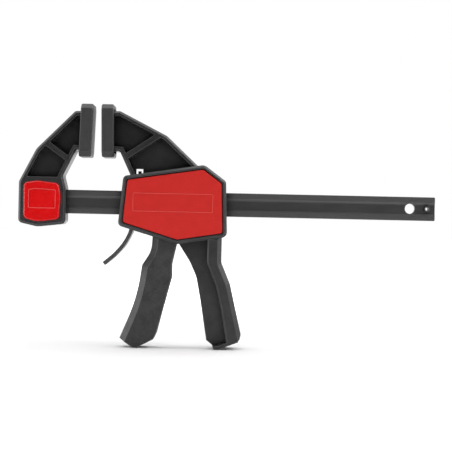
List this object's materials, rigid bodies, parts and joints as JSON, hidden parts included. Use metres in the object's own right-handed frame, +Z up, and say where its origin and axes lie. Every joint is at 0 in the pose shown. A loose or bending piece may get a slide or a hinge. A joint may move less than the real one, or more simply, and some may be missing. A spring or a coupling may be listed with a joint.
{
  "type": "quick release bar clamp",
  "caption": "One-handed bar clamp: squeezing its trigger draws a jaw on a bar towards the jaw on its housing, and a lever frees the bar.",
  "frame": {"origin": "centre of the whole clamp's box at the surface that its trigger and grip tips stand on", "axes": "+X along the bar from the fixed jaw to the stop pin, +Y across the clamp away from the release button, +Z up from the handle tips to the pads"},
  "size_m": [0.3104, 0.0286, 0.1805],
  "materials": {
    "black_plastic": "black glass-filled nylon, fine moulded texture",
    "trigger_plastic": "black glass-filled nylon, fine moulded texture",
    "red_cover": "matte red plastic, spark-eroded texture",
    "red_gloss": "glossy red plastic",
    "rubber_pad": "soft grey-black pad, satin",
    "black_bar": "blackened rolled steel, satin",
    "lever_steel": "blackened spring steel strip",
    "zinc_steel": "zinc plated steel",
    "spring_steel": "bright spring wire"
  },
  "bodies": {
    "clamp_body": {"housing": "black_plastic", "moving_jaw_pad": "rubber_pad", "front_cover": "red_cover", "rear_cover": "red_cover", "trigger_pin": "zinc_steel", "spring_seat": "zinc_steel", "drive_spring": "spring_steel", "brake_spring": "spring_steel"},
    "rail": {"bar": "black_bar", "stop_pin": "black_bar", "fixed_jaw": "black_plastic", "fixed_jaw_pad": "rubber_pad", "jaw_rear_cap": "red_gloss", "button_spring": "spring_steel"},
    "jaw_button": {"release_button": "red_gloss", "latch_peg": "zinc_steel"},
    "trigger": {"trigger": "trigger_plastic"},
    "drive_plates": {"drive_plate_1": "zinc_steel", "drive_plate_2": "zinc_steel"},
    "release_lever": {"release_lever": "lever_steel"}
  },
  "joints": [
    {"name": "bar_slide", "type": "slide", "parent": "clamp_body", "child": "rail", "axis": [1, 0, 0], "range_m": [-0.1471, 0.0054]},
    {"name": "trigger_pivot", "type": "hinge", "parent": "clamp_body", "child": "trigger", "pos_m": [-0.0448, 0, 0.1224], "axis": [0, -1, 0], "range_deg": [0, 18], "stiffness_Nm_per_rad": 0.5, "springref_deg": -34.38},
    {"name": "drive_slide", "type": "slide", "parent": "clamp_body", "child": "drive_plates", "axis": [1, 0, 0], "range_m": [0, 0.00805], "deforming": ["drive_spring"]},
    {"name": "lever_pivot", "type": "hinge", "parent": "clamp_body", "child": "release_lever", "pos_m": [-0.071, 0, 0.12255], "axis": [0, -1, 0], "range_deg": [0, 7], "stiffness_Nm_per_rad": 0.8, "springref_deg": -6.88, "deforming": ["brake_spring"]},
    {"name": "button_press", "type": "slide", "parent": "rail", "child": "jaw_button", "axis": [0, 1, 0], "range_m": [0, 0.0026], "stiffness_N_per_m": 700, "springref_m": -0.003, "deforming": ["button_spring"]}
  ],
  "couplings": [
    {"joint": "drive_slide", "follows": "trigger_pivot", "m_per_rad": 0.025}
  ]
}
